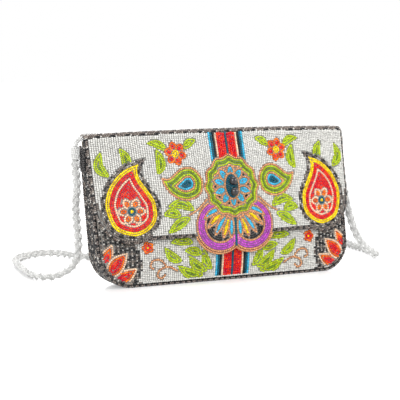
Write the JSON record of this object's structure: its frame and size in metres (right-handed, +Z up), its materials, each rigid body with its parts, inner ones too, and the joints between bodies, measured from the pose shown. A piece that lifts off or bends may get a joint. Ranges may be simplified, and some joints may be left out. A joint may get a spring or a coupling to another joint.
{
  "type": "beaded sling bag",
  "caption": "Small beaded envelope bag with domed panels on a narrow gusset, a lobed front flap with a magnetic snap, and a beaded rope strap lying on the floor.",
  "frame": {"origin": "middle of the gusset's flat base, where the bag stands", "axes": "+Z up, front of the bag at -Y, +X to the right of someone who faces the front"},
  "size_m": [0.3438, 0.2994, 0.1256],
  "materials": {
    "white_beads": "glossy pearl white glass seed beads",
    "dark_beads": "glossy gunmetal and black glass seed beads",
    "rope_beads": "cotton cord covered with clear glass seed beads",
    "dark_fabric": "dark woven tape and thread",
    "satin_lining": "dark satin",
    "board": "plain stiffening board",
    "steel": "plated steel"
  },
  "bodies": {
    "body": {"front_panel": "white_beads", "front_board": "board", "front_lining": "satin_lining", "back_panel": "white_beads", "back_board": "board", "back_lining": "satin_lining", "gusset": "dark_beads", "gusset_lining": "satin_lining", "front_seam": "dark_beads", "back_seam": "dark_beads", "mouth_edging": "dark_beads", "fold_roll": "dark_beads", "snap_socket": "steel", "front_washer": "steel", "left_tab": "dark_fabric", "right_tab": "dark_fabric", "left_binding": "rope_beads", "right_binding": "rope_beads", "strap_rope": "rope_beads"},
    "flap": {"flap_panel": "white_beads", "fold_strip": "dark_beads", "flap_board": "board", "flap_lining": "satin_lining", "flap_edging": "dark_beads", "snap_stud": "steel", "flap_washer": "steel", "upper_bead": "dark_beads", "lower_bead": "dark_beads"}
  },
  "joints": [
    {"name": "flap_hinge", "type": "hinge", "parent": "body", "child": "flap", "pos_m": [0, 0.02576, 0.12215], "axis": [-1, 0, 0], "range_deg": [0, 190]}
  ]
}
